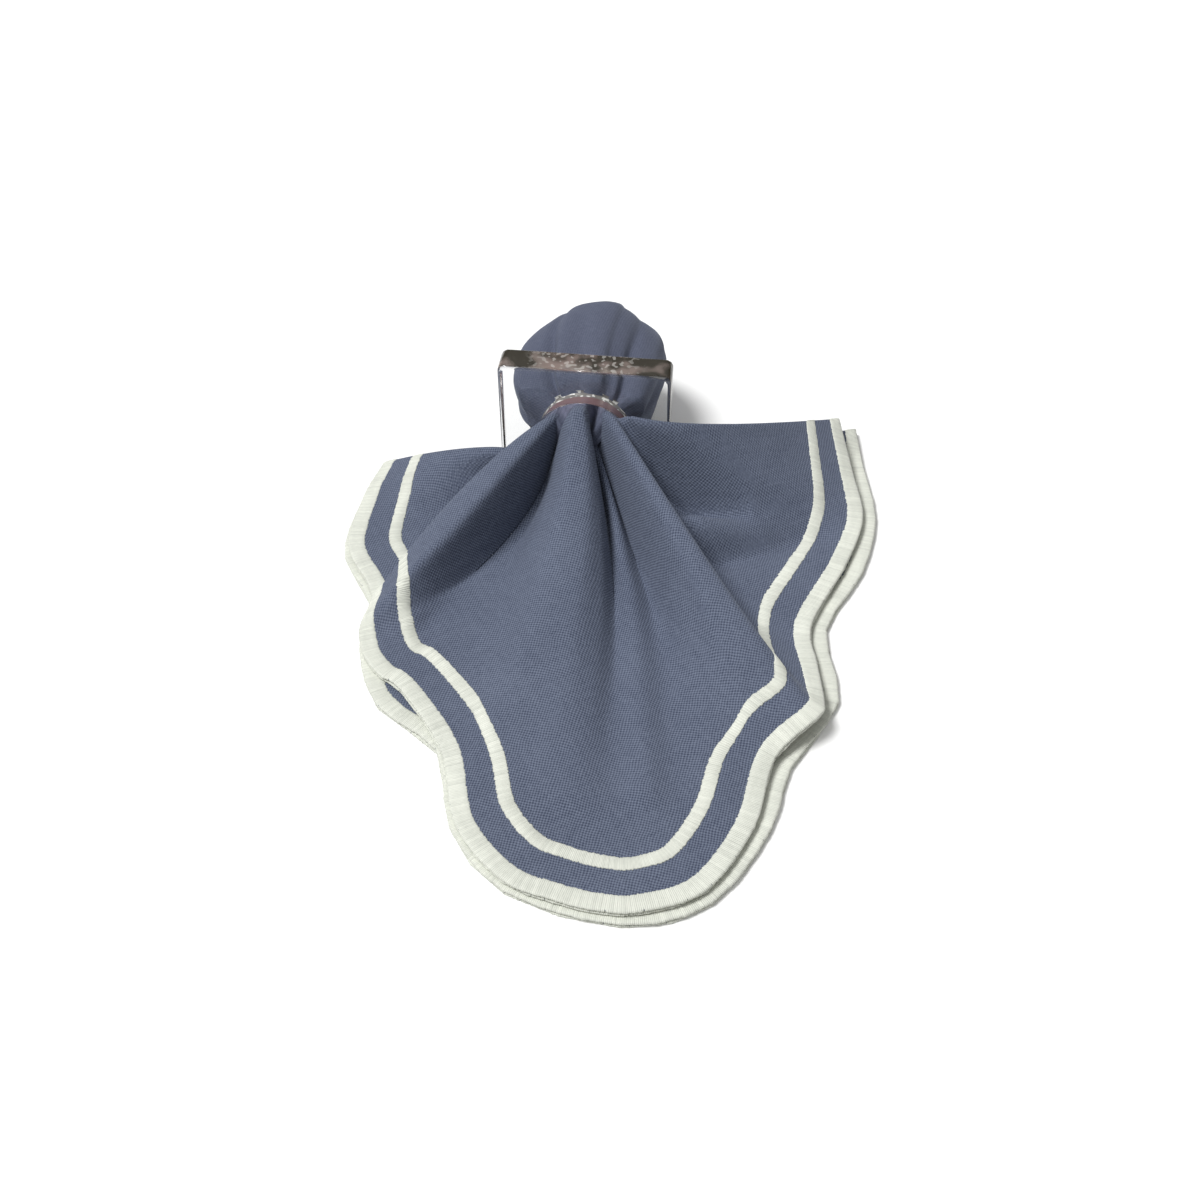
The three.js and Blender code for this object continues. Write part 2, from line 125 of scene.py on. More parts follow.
def smooth_values(values, at, monotone):
    """Smooth curve through evenly numbered values; monotone keeps it from overshooting."""
    values = np.asarray(values, float)
    last = len(values) - 1
    low = np.clip(np.floor(at).astype(int), 0, last - 1)
    t = at - low
    rise = np.diff(values)
    slope = np.empty(last + 1)
    slope[0] = rise[0]
    slope[last] = rise[-1]
    before, after = rise[:-1], rise[1:]
    if monotone:
        product = before * after
        total = np.where(product > 0, before + after, 1)
        slope[1:last] = np.where(product > 0, 2 * product / total, 0)
    else:
        slope[1:last] = (before + after) / 2
    t2, t3 = t * t, t * t * t
    return (
        (2 * t3 - 3 * t2 + 1) * values[low]
        + (t3 - 2 * t2 + t) * slope[low]
        + (3 * t2 - 2 * t3) * values[low + 1]
        + (t3 - t2) * slope[low + 1]
    )


def fall_share(t, half):
    """Falls from 1 to 0 along a fold line and passes through the given share half way."""
    power = np.log(half) / math.log(0.5)
    other = np.log(1 - half) / math.log(0.5)
    return np.where(power >= 1, (1 - t) ** np.maximum(power, 1), 1 - t ** np.maximum(other, 1e-6))


def crease_lift(x, y, across, creases, lines):
    """Height that the crossing creases add at points in plan, on the fold lines they reach."""
    lift = np.zeros(np.broadcast(x, y).shape)
    for name, x0, y0, x1, y1, x2, y2, lift0, lift1, width0, width1, low, high in creases:
        nearest = np.full(lift.shape, 1e9)
        share = np.zeros(lift.shape)
        for t in np.linspace(0, 1, 41):
            cx = (1 - t) ** 2 * x0 + 2 * t * (1 - t) * x1 + t * t * x2
            cy = (1 - t) ** 2 * y0 + 2 * t * (1 - t) * y1 + t * t * y2
            apart = np.hypot(x - cx, y - cy)
            closer = apart < nearest
            nearest = np.where(closer, apart, nearest)
            share = np.where(closer, t, share)
        width = width0 + (width1 - width0) * share
        inside = np.minimum(across - lines.index(low), lines.index(high) - across)
        inside = np.clip(inside, 0, 1)
        inside = inside * inside * (3 - 2 * inside)
        lift = lift + inside * (lift0 + (lift1 - lift0) * share) * np.exp(-((nearest / width) ** 2))
    return lift


def pleated_surface(table, creases):
    """Surface of one pair of layers, along from -1 inside the ring by 0 at the lip to 1 at the hem."""
    lists = {name: [row[i] for row in table] for i, name in enumerate(fold_columns) if i}
    lines = [row[0] for row in table]
    even = ("bend_x", "bend_y", "hem_x", "hem_y")

    def surface(across, along):
        v = {name: smooth_values(lists[name], across, name not in even) for name in lists}
        t = np.maximum(along, 0)
        back = np.maximum(-along, 0)
        half = np.clip((v["mid_z"] - v["hem_z"]) / (v["lip_z"] - v["hem_z"]), 0.01, 0.99)
        fan_x = (1 - t) ** 2 * v["lip_x"] + 2 * t * (1 - t) * v["bend_x"] + t * t * v["hem_x"]
        fan_y = (1 - t) ** 2 * lip_y + 2 * t * (1 - t) * v["bend_y"] + t * t * v["hem_y"]
        fan_z = v["hem_z"] + (v["lip_z"] - v["hem_z"]) * fall_share(t, half)
        x = fan_x + (v["mouth_x"] - v["lip_x"]) * back
        y = fan_y + (fan_start_y - lip_y) * back
        z = fan_z + (v["mouth_z"] - v["lip_z"]) * back
        z = z + crease_lift(x, y, across, creases, lines) * np.minimum(t * 6, 1) * (1 - t**10)
        return np.stack(np.broadcast_arrays(x, y, z), -1)

    return surface


def unit(vectors):
    """The same directions with length one."""
    return vectors / np.maximum(np.linalg.norm(vectors, axis=-1, keepdims=True), 1e-12)


def framed(surface, across, along, last):
    """Points of a surface with the direction across and the upward normal."""
    step = 0.02
    right, left = np.minimum(across + step, last), np.maximum(across - step, 0)
    side = unit(surface(right, along) - surface(left, along))
    far, near = np.minimum(along + step, 1), np.maximum(along - step, -1)
    out = unit(surface(across, far) - surface(across, near))
    return surface(across, along), side, unit(np.cross(out, side))


upper = pleated_surface(upper_folds, upper_creases)
lower = pleated_surface(lower_folds, [])
upper_last = len(upper_folds) - 1
lower_last = len(lower_folds) - 1

along_rows = np.concatenate([np.linspace(-1, 0, 7)[:-1], np.linspace(0, 1, 108) ** 0.92])
top_steps = np.linspace(0, upper_last, upper_last * 8 + 1)
second_steps = np.linspace(upper_last, 0, upper_last * 2 + 1)
third_steps = np.linspace(0, lower_last, lower_last * 3 + 1)
fourth_steps = np.linspace(lower_last, 0, lower_last * 2 + 1)
edge_turns = np.radians(np.linspace(67.5, -67.5, 7))


def cloth_loop():
    """Middle of the cloth and its outer normal, round all four layers and their folded edges."""
    rows = along_rows[:, None]
    points, normals = [], []

    def layer(surface, steps, last, sign):
        point, _, up = framed(surface, steps[None, :], rows, last)
        points.append(point + sign * layer_offset * up)
        normals.append(sign * up)

    def folded_edge(surface, last):
        point, side, up = framed(surface, np.array([[float(last)]]), rows, last)
        turn = edge_turns[None, :, None]
        normal = side * np.cos(turn) + up * np.sin(turn)
        points.append(point + layer_offset * normal)
        normals.append(normal)

    def wrap(turns, grow, sign):
        top, side, _ = framed(upper, np.array([[0.0]]), rows, upper_last)
        low, _, _ = framed(lower, np.array([[0.0]]), rows, lower_last)
        between = (top + low) / 2
        rise = (top - low) / 2
        half = np.linalg.norm(rise, axis=-1, keepdims=True)
        rise = rise / half
        turn = turns[None, :, None]
        radial = rise * np.sin(turn) - side * np.cos(turn)
        points.append(between + (half + grow) * radial)
        normals.append(sign * radial)

    layer(upper, top_steps, upper_last, 1)
    folded_edge(upper, upper_last)
    layer(upper, second_steps, upper_last, -1)
    wrap(edge_turns, -layer_offset, -1)
    layer(lower, third_steps, lower_last, 1)
    folded_edge(lower, lower_last)
    layer(lower, fourth_steps, lower_last, -1)
    wrap(edge_turns[::-1], layer_offset, 1)
    return np.concatenate(points, 1), np.concatenate(normals, 1)


cloth_middle, cloth_normal = cloth_loop()
row_count, column_count = cloth_middle.shape[:2]


def quad_grid(rows, columns, start, closed_rows=False):
    """Vertex numbers of the quads of a grid that is numbered row by row and closes on itself across."""
    r = np.arange(rows if closed_rows else rows - 1)[:, None]
    c = np.arange(columns)[None, :]
    r1, c1 = (r + 1) % rows, (c + 1) % columns
    quads = np.stack([r * columns + c, r * columns + c1, r1 * columns + c1, r1 * columns + c], -1)
    return quads.reshape(-1, 4) + start


def add_mesh(name, points, faces, material):
    """A smooth mesh object from points in millimetres; the faces are listed inside out and turned here."""
    mesh = bpy.data.meshes.new(name)
    outward = [list(face)[::-1] for face in faces]
    mesh.from_pydata((np.asarray(points) * millimetre).tolist(), [], outward)
    mesh.validate()
    mesh.update()
    mesh.polygons.foreach_set("use_smooth", [True] * len(mesh.polygons))
    mesh.materials.append(material)
    piece = bpy.data.objects.new(name, mesh)
    scene.collection.objects.link(piece)
    return piece


def add_attribute(piece, name, values):
    """A number or a vector for each point, read by the material."""
    values = np.asarray(values, float)
    kind = "FLOAT" if values.ndim == 1 else "FLOAT_VECTOR"
    field = piece.data.attributes.new(name, kind, "POINT")
    field.data.foreach_set("value" if values.ndim == 1 else "vector", values.reshape(-1))


def new_material(name):
    """A node material with its tree and its main shader."""
    material = bpy.data.materials.new(name)
    material.use_nodes = True
    tree = material.node_tree
    return material, tree, tree.nodes["Principled BSDF"]


def node(tree, kind, **settings):
    """A shader node with its sockets set from words such as Scale=3, or linked where a socket is given."""
    made = tree.nodes.new(kind)
    for key, value in settings.items():
        if hasattr(made, key) and key.islower():
            setattr(made, key, value)
            continue
        place = int(key[1:]) if key[0] == "i" and key[1:].isdigit() else key.replace("_", " ")
        if isinstance(value, bpy.types.NodeSocket):
            tree.links.new(value, made.inputs[place])
        else:
            made.inputs[place].default_value = value
    return made


def math_node(tree, operation, first, second=0.0, third=0.0):
    """The result of one sum in a material."""
    return node(tree, "ShaderNodeMath", operation=operation, i0=first, i1=second, i2=third).outputs[0]


def mixed_colour(tree, share, first, second):
    """Mix of two colours, each a value or a socket, by a share."""
    made = tree.nodes.new("ShaderNodeMix")
    made.data_type = "RGBA"
    for place, value in ((0, share), (6, first), (7, second)):
        if isinstance(value, bpy.types.NodeSocket):
            tree.links.new(value, made.inputs[place])
        else:
            made.inputs[place].default_value = value
    return made.outputs[2]


def linear(red, green, blue):
    """Linear colour from the 0 to 255 values of a screen colour."""
    return tuple(
        c / 12.92 if c <= 0.04045 else ((c + 0.055) / 1.055) ** 2.4
        for c in (red / 255, green / 255, blue / 255)
    ) + (1.0,)


thread_spacing = 0.58
weave_turn = math.radians(38)
cloth_light = linear(112, 120, 138)
cloth_dark = linear(50, 57, 76)


def weave_place(points):
    """Coordinates along the two thread directions and up, for points in millimetres."""
    x, y, z = np.moveaxis(np.asarray(points, float), -1, 0)
    first = x * math.cos(weave_turn) + y * math.sin(weave_turn)
    second = -x * math.sin(weave_turn) + y * math.cos(weave_turn)
    return np.stack([first, second, z], -1)


def plain_weave(tree, place):
    """Checker of warp and weft threads, laid on each face from the side that it looks to."""
    normal = node(tree, "ShaderNodeNewGeometry").outputs["Normal"]
    turned = node(tree, "ShaderNodeVectorRotate", i0=normal, i3=-weave_turn).outputs[0]
    facing = node(tree, "ShaderNodeSeparateXYZ", i0=turned)
    axes = node(tree, "ShaderNodeSeparateXYZ", i0=place)
    waves, shares = [], []
    for i in range(3):
        phase = math_node(tree, "MULTIPLY", axes.outputs[i], math.pi / thread_spacing)
        waves.append(math_node(tree, "SINE", phase))
        strength = math_node(tree, "ABSOLUTE", facing.outputs[i])
        shares.append(math_node(tree, "POWER", strength, 5.0))
    total = math_node(tree, "ADD", math_node(tree, "ADD", shares[0], shares[1]), shares[2])
    beads = 0.0
    for i, j, k in ((0, 1, 2), (1, 2, 0), (2, 0, 1)):
        checker = math_node(tree, "MULTIPLY", waves[i], waves[j])
        beads = math_node(tree, "MULTIPLY_ADD", checker, shares[k], beads)
    return math_node(tree, "DIVIDE", beads, total)


def woven_material(name, light, dark, contrast):
    """Plain weave from the cloth's own coordinates in millimetres, with uneven threads and a soft nap."""
    material, tree, shader = new_material(name)
    place = node(tree, "ShaderNodeAttribute", attribute_name="weave").outputs["Vector"]
    drift = node(tree, "ShaderNodeTexNoise", Vector=place, Scale=0.12, Detail=1.0).outputs["Color"]
    drift = node(tree, "ShaderNodeVectorMath", operation="SCALE", i0=drift, Scale=1.2).outputs[0]
    beads = plain_weave(tree, node(tree, "ShaderNodeVectorMath", i0=place, i1=drift).outputs[0])
    along_warp = node(tree, "ShaderNodeMapping", i0=place, i3=(2.4, 0.2, 1))
    along_weft = node(tree, "ShaderNodeMapping", i0=place, i3=(0.2, 2.4, 1))
    slub_one = node(tree, "ShaderNodeTexNoise", Vector=along_warp.outputs[0], Scale=0.5, Detail=2.0)
    slub_two = node(tree, "ShaderNodeTexNoise", Vector=along_weft.outputs[0], Scale=0.5, Detail=2.0)
    slubs = math_node(tree, "ADD", slub_one.outputs["Fac"], slub_two.outputs["Fac"])
    grain = node(tree, "ShaderNodeTexNoise", Vector=place, Scale=1.1, Detail=3.0, Roughness=0.7)
    grain = grain.outputs["Fac"]
    broad = node(tree, "ShaderNodeTexNoise", Vector=place, Scale=0.035, Detail=3.0).outputs["Fac"]
    share = math_node(tree, "MULTIPLY_ADD", beads, contrast, 0.52)
    share = math_node(tree, "MULTIPLY_ADD", math_node(tree, "SUBTRACT", slubs, 1.0), 0.25, share)
    share = math_node(tree, "MULTIPLY_ADD", math_node(tree, "SUBTRACT", grain, 0.5), 0.6, share)
    share = math_node(tree, "MULTIPLY_ADD", math_node(tree, "SUBTRACT", broad, 0.5), 0.25, share)
    clamped = node(tree, "ShaderNodeClamp", i0=share).outputs[0]
    colour = mixed_colour(tree, clamped, dark, light)
    tree.links.new(colour, shader.inputs["Base Color"])
    height = math_node(tree, "MULTIPLY_ADD", beads, 0.6, slubs)
    height = math_node(tree, "MULTIPLY_ADD", grain, 0.7, height)
    bump = node(tree, "ShaderNodeBump", Strength=min(1.0, contrast * 1.6), Distance=0.00014, Height=height)
    tree.links.new(bump.outputs[0], shader.inputs["Normal"])
    shader.inputs["Roughness"].default_value = 0.92
    shader.inputs["Specular IOR Level"].default_value = 0.18
    shader.inputs["Sheen Weight"].default_value = 0.18
    shader.inputs["Sheen Roughness"].default_value = 0.5
    shader.inputs["Sheen Tint"].default_value = linear(190, 198, 214)
    return material


blue_cotton = woven_material("blue_cotton", cloth_light, cloth_dark, 0.5)

outer_face = cloth_middle + cloth_normal * cloth_thick / 2
inner_face = cloth_middle - cloth_normal * cloth_thick / 2
face_size = row_count * column_count
cloth_points = np.concatenate([outer_face.reshape(-1, 3), inner_face.reshape(-1, 3)])
cloth_points[:, 2] = np.maximum(cloth_points[:, 2], 0.15)
outer_quads = quad_grid(row_count, column_count, 0)
inner_quads = quad_grid(row_count, column_count, face_size)[:, ::-1]
first_column = np.arange(column_count)
next_column = (first_column + 1) % column_count
hem_start = (row_count - 1) * column_count
start_rim = np.stack([next_column, first_column, first_column + face_size, next_column + face_size], -1)
hem_rim = np.stack([first_column, next_column, next_column + face_size, first_column + face_size], -1)
hem_rim = hem_rim + hem_start
cloth_faces = np.concatenate([outer_quads, inner_quads, start_rim, hem_rim])
cloth = add_mesh("napkin_cloth", cloth_points, cloth_faces, blue_cotton)
add_attribute(cloth, "weave", weave_place(cloth_points))
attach(cloth, "root")
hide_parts("napkin")

# Satin border and inner stripe
# Both are dense rows of off-white satin stitches across the hem's direction: one 5.3 mm wide over
# the scalloped edge itself, the other 4.6 mm wide, with 8 mm of bare cloth between them.
border_width = 5.3
stripe_near = 13.3
stripe_far = 17.9
stitch_pitch = 0.56
walk_step = 0.5
walk_blur = 1.0


def on_cloth(grid, column, row):
    """Value of a grid of the cloth's points between its columns and rows."""
    low = np.floor(column).astype(int)
    share_c = (column - low)[..., None]
    left, right = low % column_count, (low + 1) % column_count
    under = np.clip(np.floor(row).astype(int), 0, row_count - 2)
    share_r = (row - under)[..., None]
    near = grid[under, left] * (1 - share_c) + grid[under, right] * share_c
    far = grid[under + 1, left] * (1 - share_c) + grid[under + 1, right] * share_c
    return near * (1 - share_r) + far * share_r


def hem_places(pitch):
    """Columns that lie evenly along the hem, a whole even number of them."""
    hem = cloth_middle[-1]
    lengths = np.linalg.norm(np.roll(hem, -1, axis=0) - hem, axis=1)
    reach = np.concatenate([[0], np.cumsum(lengths)])
    count = 2 * int(round(reach[-1] / pitch / 2))
    wanted = np.arange(count) * reach[-1] / count
    return np.interp(wanted, reach, np.arange(column_count + 1))


def walk_inward(columns, depth):
    """Columns and rows of the points that lie 0, 1, 2... steps in from the hem, square to it.

    The deeper the line, the more it is evened out along the hem, as a stitched stripe is.
    """
    column = columns.copy()
    row = np.full(len(columns), float(row_count - 1))
    inward = None
    path = [(column.copy(), row.copy())]
    for _ in range(int(math.ceil(depth / walk_step))):
        by_column = on_cloth(cloth_middle, column + 0.5, row)
        by_column = by_column - on_cloth(cloth_middle, column - 0.5, row)
        high = np.minimum(row + 0.5, row_count - 1)
        low = np.maximum(row - 0.5, 0)
        by_row = on_cloth(cloth_middle, column, high) - on_cloth(cloth_middle, column, low)
        by_row = by_row / (high - low)[:, None]
        if inward is None:
            tangent = unit(by_column)
            inward = -(by_row - tangent * np.sum(by_row * tangent, -1, keepdims=True))
        normal = unit(np.cross(by_row, by_column))
        inward = unit(inward - normal * np.sum(inward * normal, -1, keepdims=True))
        cc = np.sum(by_column * by_column, -1)
        cr = np.sum(by_column * by_row, -1)
        rr = np.sum(by_row * by_row, -1)
        ic, ir = np.sum(inward * by_column, -1), np.sum(inward * by_row, -1)
        det = np.maximum(cc * rr - cr * cr, 1e-9)
        column = column + walk_step * (ic * rr - ir * cr) / det
        row = np.clip(row + walk_step * (ir * cc - ic * cr) / det, 0, row_count - 1)
        path.append((column.copy(), row.copy()))
    shifts = np.stack([p[0] for p in path]) - columns
    rows = np.stack([p[1] for p in path])
    waves = np.fft.rfftfreq(len(columns))
    for step in range(1, len(path)):
        blur = np.exp(-2 * (math.pi * waves * step * walk_step * walk_blur) ** 2)
        shifts[step] = np.fft.irfft(np.fft.rfft(shifts[step]) * blur, len(columns))
        rows[step] = np.fft.irfft(np.fft.rfft(rows[step]) * blur, len(columns))
    return np.maximum.accumulate(columns + shifts, axis=1), np.minimum(rows, row_count - 1)


stitch_columns = hem_places(stitch_pitch / 2)
walk_columns, walk_rows = walk_inward(stitch_columns, stripe_far + 1.2)
side_count = len(stitch_columns)
stitch_number = np.arange(side_count) // 2
draw = np.random.default_rng(7)
stitch_count = side_count // 2
stitch_shade = draw.normal(0, 1, stitch_count)
near_jag = draw.normal(0, 1, stitch_count)
far_jag = draw.normal(0, 1, stitch_count)
loose = draw.random(stitch_count) < 0.035
groove = (np.arange(side_count) % 2).astype(float)


def at_depth(depth):
    """Middle and normal of the cloth at a depth in from the hem, one value for each stitch side."""
    at = np.clip(depth / walk_step, 0, len(walk_columns) - 1.001)
    low = np.floor(at).astype(int)
    share = at - low
    pick = np.arange(side_count)
    column = walk_columns[low, pick] * (1 - share) + walk_columns[low + 1, pick] * share
    row = walk_rows[low, pick] * (1 - share) + walk_rows[low + 1, pick] * share
    return on_cloth(cloth_middle, column, row), unit(on_cloth(cloth_normal, column, row))


def satin_band(name, section, material):
    """A closed tube of stitches; section lists depth in from the hem and height over the cloth's middle."""
    rings, shades, depths = [], [], []
    for depth, height in section:
        point, normal = at_depth(np.maximum(depth, 0))
        if np.any(depth < 0):
            outward, _ = at_depth(np.full(side_count, 0.5))
            out = unit(point - outward)
            point = point + out * np.maximum(-depth, 0)[:, None]
        rings.append(point + normal * np.broadcast_to(height, side_count)[:, None])
        depths.append(np.broadcast_to(depth, side_count))
        shades.append(stitch_shade[stitch_number])
    points = np.stack(rings)
    sections = len(section)
    faces = quad_grid(sections, side_count, 0, closed_rows=True)
    flat = points.reshape(-1, 3)
    flat[:, 2] = np.maximum(flat[:, 2], 0.02)
    band = add_mesh(name, flat, faces, material)
    along = np.broadcast_to(np.arange(side_count) * 0.5, (sections, side_count))
    place = np.stack([along.reshape(-1), np.stack(depths).reshape(-1), np.stack(shades).reshape(-1)], -1)
    add_attribute(band, "stitch", place)
    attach(band, "root")
    return band


def satin_material(name):
    """Off-white satin stitches: each stitch painted lighter on its crest and darker in the groove beside it
    as painted highlight and shade, with dark gaps between some of them.
    """
    material, tree, shader = new_material(name)
    place = node(tree, "ShaderNodeAttribute", attribute_name="stitch").outputs["Vector"]
    split = node(tree, "ShaderNodeSeparateXYZ", i0=place)
    wave = math_node(tree, "COSINE", math_node(tree, "MULTIPLY", split.outputs[0], 2 * math.pi))
    across = node(tree, "ShaderNodeMapping", i0=place, i3=(1.0, 0.22, 0.0))
    fibre = node(tree, "ShaderNodeTexNoise", Vector=across.outputs[0], Scale=3.0, Detail=3.0).outputs["Fac"]
    patch = node(tree, "ShaderNodeMapping", i0=place, i3=(0.02, 0.1, 0.0))
    broad = node(tree, "ShaderNodeTexNoise", Vector=patch.outputs[0], Scale=2.0, Detail=2.0).outputs["Fac"]
    # The stitch wave paints a highlight along each stitch's crest and shade in the groove between stitches.
    # The other terms are the stitches' own uneven tone.
    share = math_node(tree, "MULTIPLY_ADD", wave, 0.16, 0.62)
    share = math_node(tree, "MULTIPLY_ADD", split.outputs[2], 0.09, share)
    share = math_node(tree, "MULTIPLY_ADD", math_node(tree, "SUBTRACT", fibre, 0.5), 0.7, share)
    share = math_node(tree, "MULTIPLY_ADD", math_node(tree, "SUBTRACT", broad, 0.5), 0.6, share)
    clamped = node(tree, "ShaderNodeClamp", i0=share).outputs[0]
    colour = mixed_colour(tree, clamped, linear(176, 179, 170), linear(228, 230, 219))
    tree.links.new(colour, shader.inputs["Base Color"])
    height = math_node(tree, "MULTIPLY_ADD", fibre, 0.8, wave)
    bump = node(tree, "ShaderNodeBump", Strength=0.5, Distance=0.00012, Height=height)
    tree.links.new(bump.outputs[0], shader.inputs["Normal"])
    shader.inputs["Roughness"].default_value = 0.62
    shader.inputs["Specular IOR Level"].default_value = 0.35
    shader.inputs["Sheen Weight"].default_value = 0.15
    return material


satin = satin_material("offwhite_satin")
ridge = 0.30 - 0.12 * groove
half_cloth = cloth_thick / 2
slit = np.where(loose[stitch_number] & (groove > 0), 0.5, 0.0)
border_far = border_width + 0.1 * far_jag[stitch_number] - 0.1 * groove
rim = -0.42 + 0.07 * near_jag[stitch_number] + 0.10 * groove + slit
border_section = [
    (border_far, half_cloth),
    (border_far - 0.35, half_cloth + ridge * 0.75),
    (np.full(side_count, 3.6), half_cloth + ridge),
    (np.full(side_count, 1.6), half_cloth + ridge),
    (np.full(side_count, 0.35), half_cloth + ridge * 0.8),
    (rim * 0.8, 0.22),
    (rim * 0.8, -0.22),
    (np.full(side_count, 0.35), -half_cloth - ridge * 0.8),
    (np.full(side_count, 2.4), -half_cloth - ridge * 0.6),
    (border_far - 0.35, -half_cloth - ridge * 0.5),
    (border_far, -half_cloth + 0.1),
]
border = satin_band("napkin_border", border_section, satin)
stripe_start = stripe_near + 0.1 * near_jag[stitch_number]
stripe_end = stripe_far + 0.1 * far_jag[::-1][stitch_number]
stripe_section = [
    (stripe_end, half_cloth - 0.05),
    (stripe_end - 0.4, half_cloth + ridge * 0.8),
    (np.full(side_count, 15.6), half_cloth + ridge),
    (stripe_start + 0.4, half_cloth + ridge * 0.8),
    (stripe_start, half_cloth - 0.05),
    (np.full(side_count, 15.6), half_cloth - 0.15),
]
stripe = satin_band("napkin_stripe", stripe_section, satin)

# Gathered bulb
# Behind the ring the same cloth is gathered through the hole and puffs out to a soft bulb, with
# pleats that run back from the hole and fade. It is the middle of the napkin.
throat_radius = 15.6
throat_height = 26.5
bulb_columns = ["y", "left", "right", "up", "down", "x", "z"]
bulb_rings = [
    [5.8, 20.5, 18.6, 19.0, 17.5, 0, 28],
    [8, 22.0, 19.6, 21.0, 19, -0.3, 28],
    [13, 24.0, 21.4, 22.4, 22, -0.8, 28],
    [20, 25.4, 23.6, 23.2, 25, -1, 28],
    [29, 26.0, 25.0, 24.4, 26, -1, 27.4],
    [38, 25, 25.4, 24.8, 26, -0.5, 26.8],
    [47, 22.8, 23.8, 24, 25.5, 0.5, 26],
    [55, 18.8, 20.0, 20.6, 23.6, 1.4, 25],
    [61, 14.2, 15.2, 16, 19, 2, 24.5],
    [66, 8.6, 9.2, 9.8, 12.5, 2.6, 24],
    [69, 3.4, 3.8, 4, 5.4, 3, 24],
    [69.8, 0.4, 0.4, 0.4, 0.4, 3, 24],
]
# Creases that run back from the ring over the bulb: angle round the hole, depth at the ring and at the
# far end, and width toward the right and toward the left.
# Columns: angle, near, far, width_low, width_high.
bulb_creases = [
    [70, 1.4, 1.2, 22, 4],
    [44, 0, 2.6, 20, 20],
    [100, 2.4, 0, 9, 11],
    [127, 4.4, 0, 6, 4],
    [152, -6.5, 0, 13, 12],
    [31, -5.0, 0, 12, 13],
    [50, 3.0, 0, 4, 6],
    [12, 1.6, 0, 5, 6],
    [196, 3.4, 1.4, 12, 12],
    [-14, 3.6, 0.8, 12, 10],
    [-48, 3.4, 0.8, 12, 12],
    [-92, 2.6, 0.6, 12, 12],
    [-136, 3.4, 0.8, 12, 12],
]
bulb_angles = np.linspace(0, 2 * math.pi, 216, endpoint=False)


def stack_reach(outline, angles):
    """Distance from the hole's axis to the outline of the pleated stack, for each angle."""
    px, pz = outline[:, 0], outline[:, 2] - throat_height
    qx, qz = np.roll(px, -1), np.roll(pz, -1)
    reach = []
    for angle in angles:
        dx, dz = math.cos(angle), math.sin(angle)
        cross = dx * (qz - pz) - dz * (qx - px)
        safe = np.where(np.abs(cross) < 1e-9, 1, cross)
        far = (px * (qz - pz) - pz * (qx - px)) / safe
        share = (px * dz - pz * dx) / safe
        hit = (np.abs(cross) > 1e-9) & (share >= -0.001) & (share <= 1.001) & (far > 0)
        reach.append(np.max(np.where(hit, far, 0)))
    return np.array(reach)


stack = np.maximum(stack_reach(outer_face[0], bulb_angles), 4)


def bulb_crease(y):
    """How far each angle of the bulb is drawn in at a distance behind the ring."""
    share = min(max((y - 5) / 65, 0.0), 1.0)
    cut = np.zeros(len(bulb_angles))
    for angle, near, far, width_low, width_high in bulb_creases:
        turn = (np.degrees(bulb_angles) - angle + 180) % 360 - 180
        width = np.where(turn < 0, width_low, width_high)
        depth = near * (1 - share) ** 1.6 + far * share
        cut += depth * np.exp(-((turn / width) ** 2))
    fine = np.zeros(len(bulb_angles))
    for waves, phase, size in ((17, 0.4, 0.5), (11, 2.1, 0.7), (23, 1.3, 0.35)):
        fine += size * np.sin(waves * bulb_angles + phase)
    return cut + fine * max(0.0, 1 - (y - 3) / 22) ** 1.5


def throat(share, extra):
    """Reach of the cloth in the hole, from the pleated stack to the full hole by a share."""
    pleated = np.maximum(stack + extra, 4)
    return np.minimum(pleated * (1 - share) + throat_radius * share, throat_radius)


def bulb_loop(y, x, z, left, right, up, down, drawn_in):
    """Points of one ring of cloth with its own reach to the left, right, top and bottom."""
    c, s = np.cos(bulb_angles), np.sin(bulb_angles)
    reach = 1 / np.hypot(c / np.where(c < 0, left, right), s / np.where(s < 0, down, up))
    reach = np.maximum(reach - drawn_in, 0.2)
    return np.stack([x + reach * c, np.full(len(reach), y), z + reach * s], -1)


def throat_loop(y, z, reach):
    """Points of one ring of cloth round the hole's axis."""
    x = reach * np.cos(bulb_angles)
    return np.stack([x, np.full(len(reach), y), z + reach * np.sin(bulb_angles)], -1)


drawn_throat = throat_radius - 0.3 * bulb_crease(5.0)
bulb_loops = [
    throat_loop(-12.0, 26.0, throat(0, 0) * 0.35),
    throat_loop(-9.8, 27.0, throat(0, -1.6) * 0.75),
    throat_loop(-7.4, throat_height, throat(0, -1.0)),
    throat_loop(-6.3, throat_height, throat(0, -0.35)),
    throat_loop(-5.0, throat_height, throat(0, 0.0)),
    throat_loop(-3.0, throat_height, throat(0.1, 0.1)),
    throat_loop(-0.5, throat_height, throat(0.3, 0.2)),
    throat_loop(2.5, throat_height, throat(0.6, 0.2)),
    throat_loop(5.0, throat_height, np.minimum(throat(0.9, 0.2), drawn_throat)),
]
ring_lists = {name: [row[i] for row in bulb_rings] for i, name in enumerate(bulb_columns)}
for number in np.linspace(0, len(bulb_rings) - 1, 74):
    at = np.array([number])
    sizes = (float(smooth_values(ring_lists[name], at, True)[0]) for name in bulb_columns)
    y, left, right, up, down, x, z = sizes
    drawn_in = bulb_crease(y) * min(1.0, right / 16)
    bulb_loops.append(bulb_loop(y, x, z, left, right, up, down, drawn_in))
bulb_points = np.concatenate(bulb_loops)
bulb_points[:, 2] = np.maximum(bulb_points[:, 2], 0.1)
around = len(bulb_angles)
bulb_faces = [list(f) for f in quad_grid(len(bulb_loops), around, 0)]
bulb_faces.append(list(range(around))[::-1])
bulb_faces.append(list(range(around * (len(bulb_loops) - 1), around * len(bulb_loops))))
